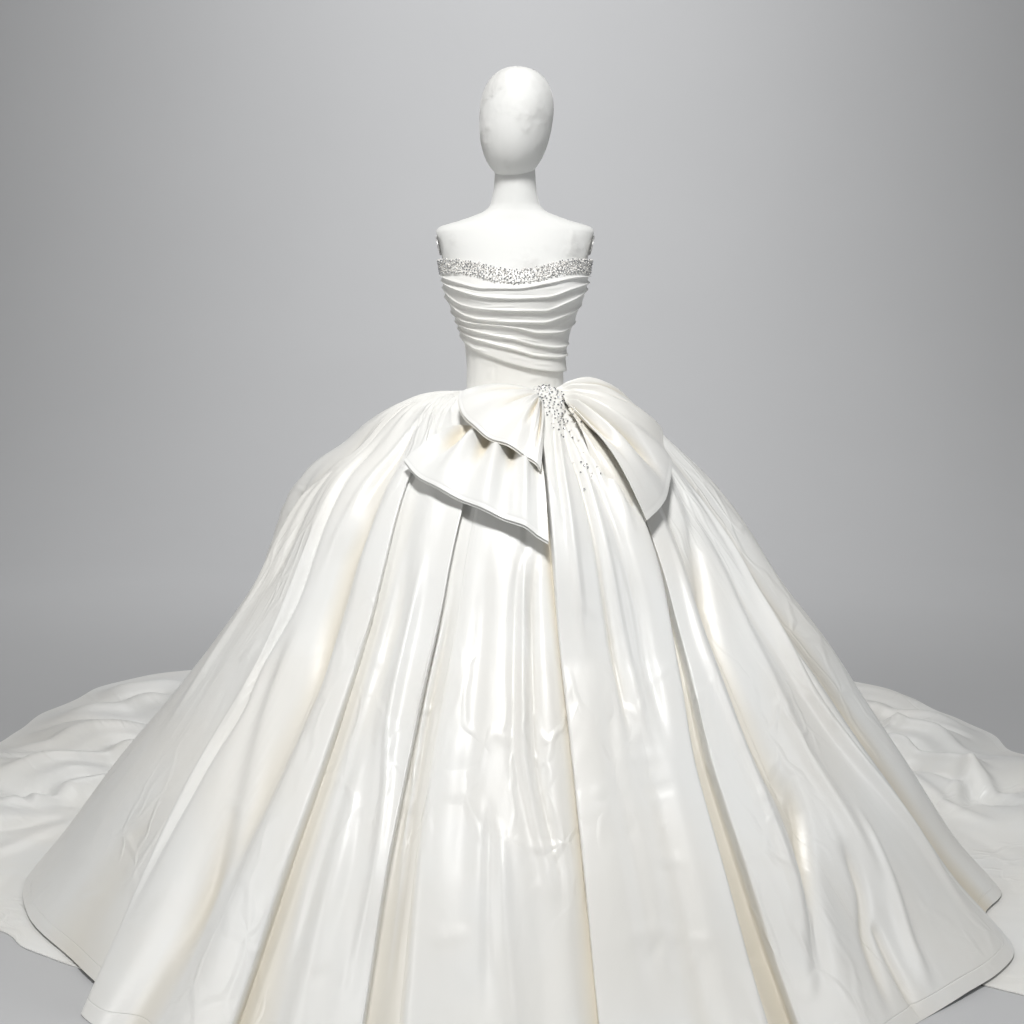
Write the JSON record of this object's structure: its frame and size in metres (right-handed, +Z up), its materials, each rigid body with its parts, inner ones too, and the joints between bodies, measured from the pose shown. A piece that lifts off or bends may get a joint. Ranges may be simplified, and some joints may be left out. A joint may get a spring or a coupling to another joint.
{
  "type": "wedding dress on a dress form",
  "caption": "Strapless satin ball gown with a dome skirt, lapped pleats, a waist bow and a floor train, on a limbless dress form that stands on a round foot.",
  "frame": {"origin": "on the floor, on the axis of the form's pole, at the centre of the stand's foot", "axes": "+Z up, -Y towards the front of the gown, +Y along the train, +X to the right of someone facing the gown"},
  "size_m": [3.1812, 3.6894, 1.816],
  "materials": {
    "satin": "heavy ivory duchess satin, soft sheen",
    "beading": "white pearls and clear crystals sewn on net",
    "form_cloth": "matte white stretch cloth over a moulded form",
    "plate": "satin metal plate",
    "stand": "white powder coat"
  },
  "bodies": {
    "root": {"form_torso": "form_cloth", "form_head": "form_cloth", "form_armhole_left": "plate", "form_armhole_right": "plate", "stand_base": "stand", "stand_pole": "stand", "bodice_front": "satin", "bodice_back_left": "satin", "bodice_back_right": "satin", "bodice_drape": "satin", "neckline_band": "beading", "skirt_front": "satin", "skirt_front_left": "satin", "skirt_front_right": "satin", "skirt_side_left": "satin", "skirt_side_right": "satin", "skirt_back_left": "satin", "skirt_back_right": "satin", "train_left": "satin", "train_right": "satin", "bow_knot": "satin", "bow_left_flap": "satin", "bow_left_tail": "satin", "bow_right_loop": "satin"}
  },
  "joints": []
}
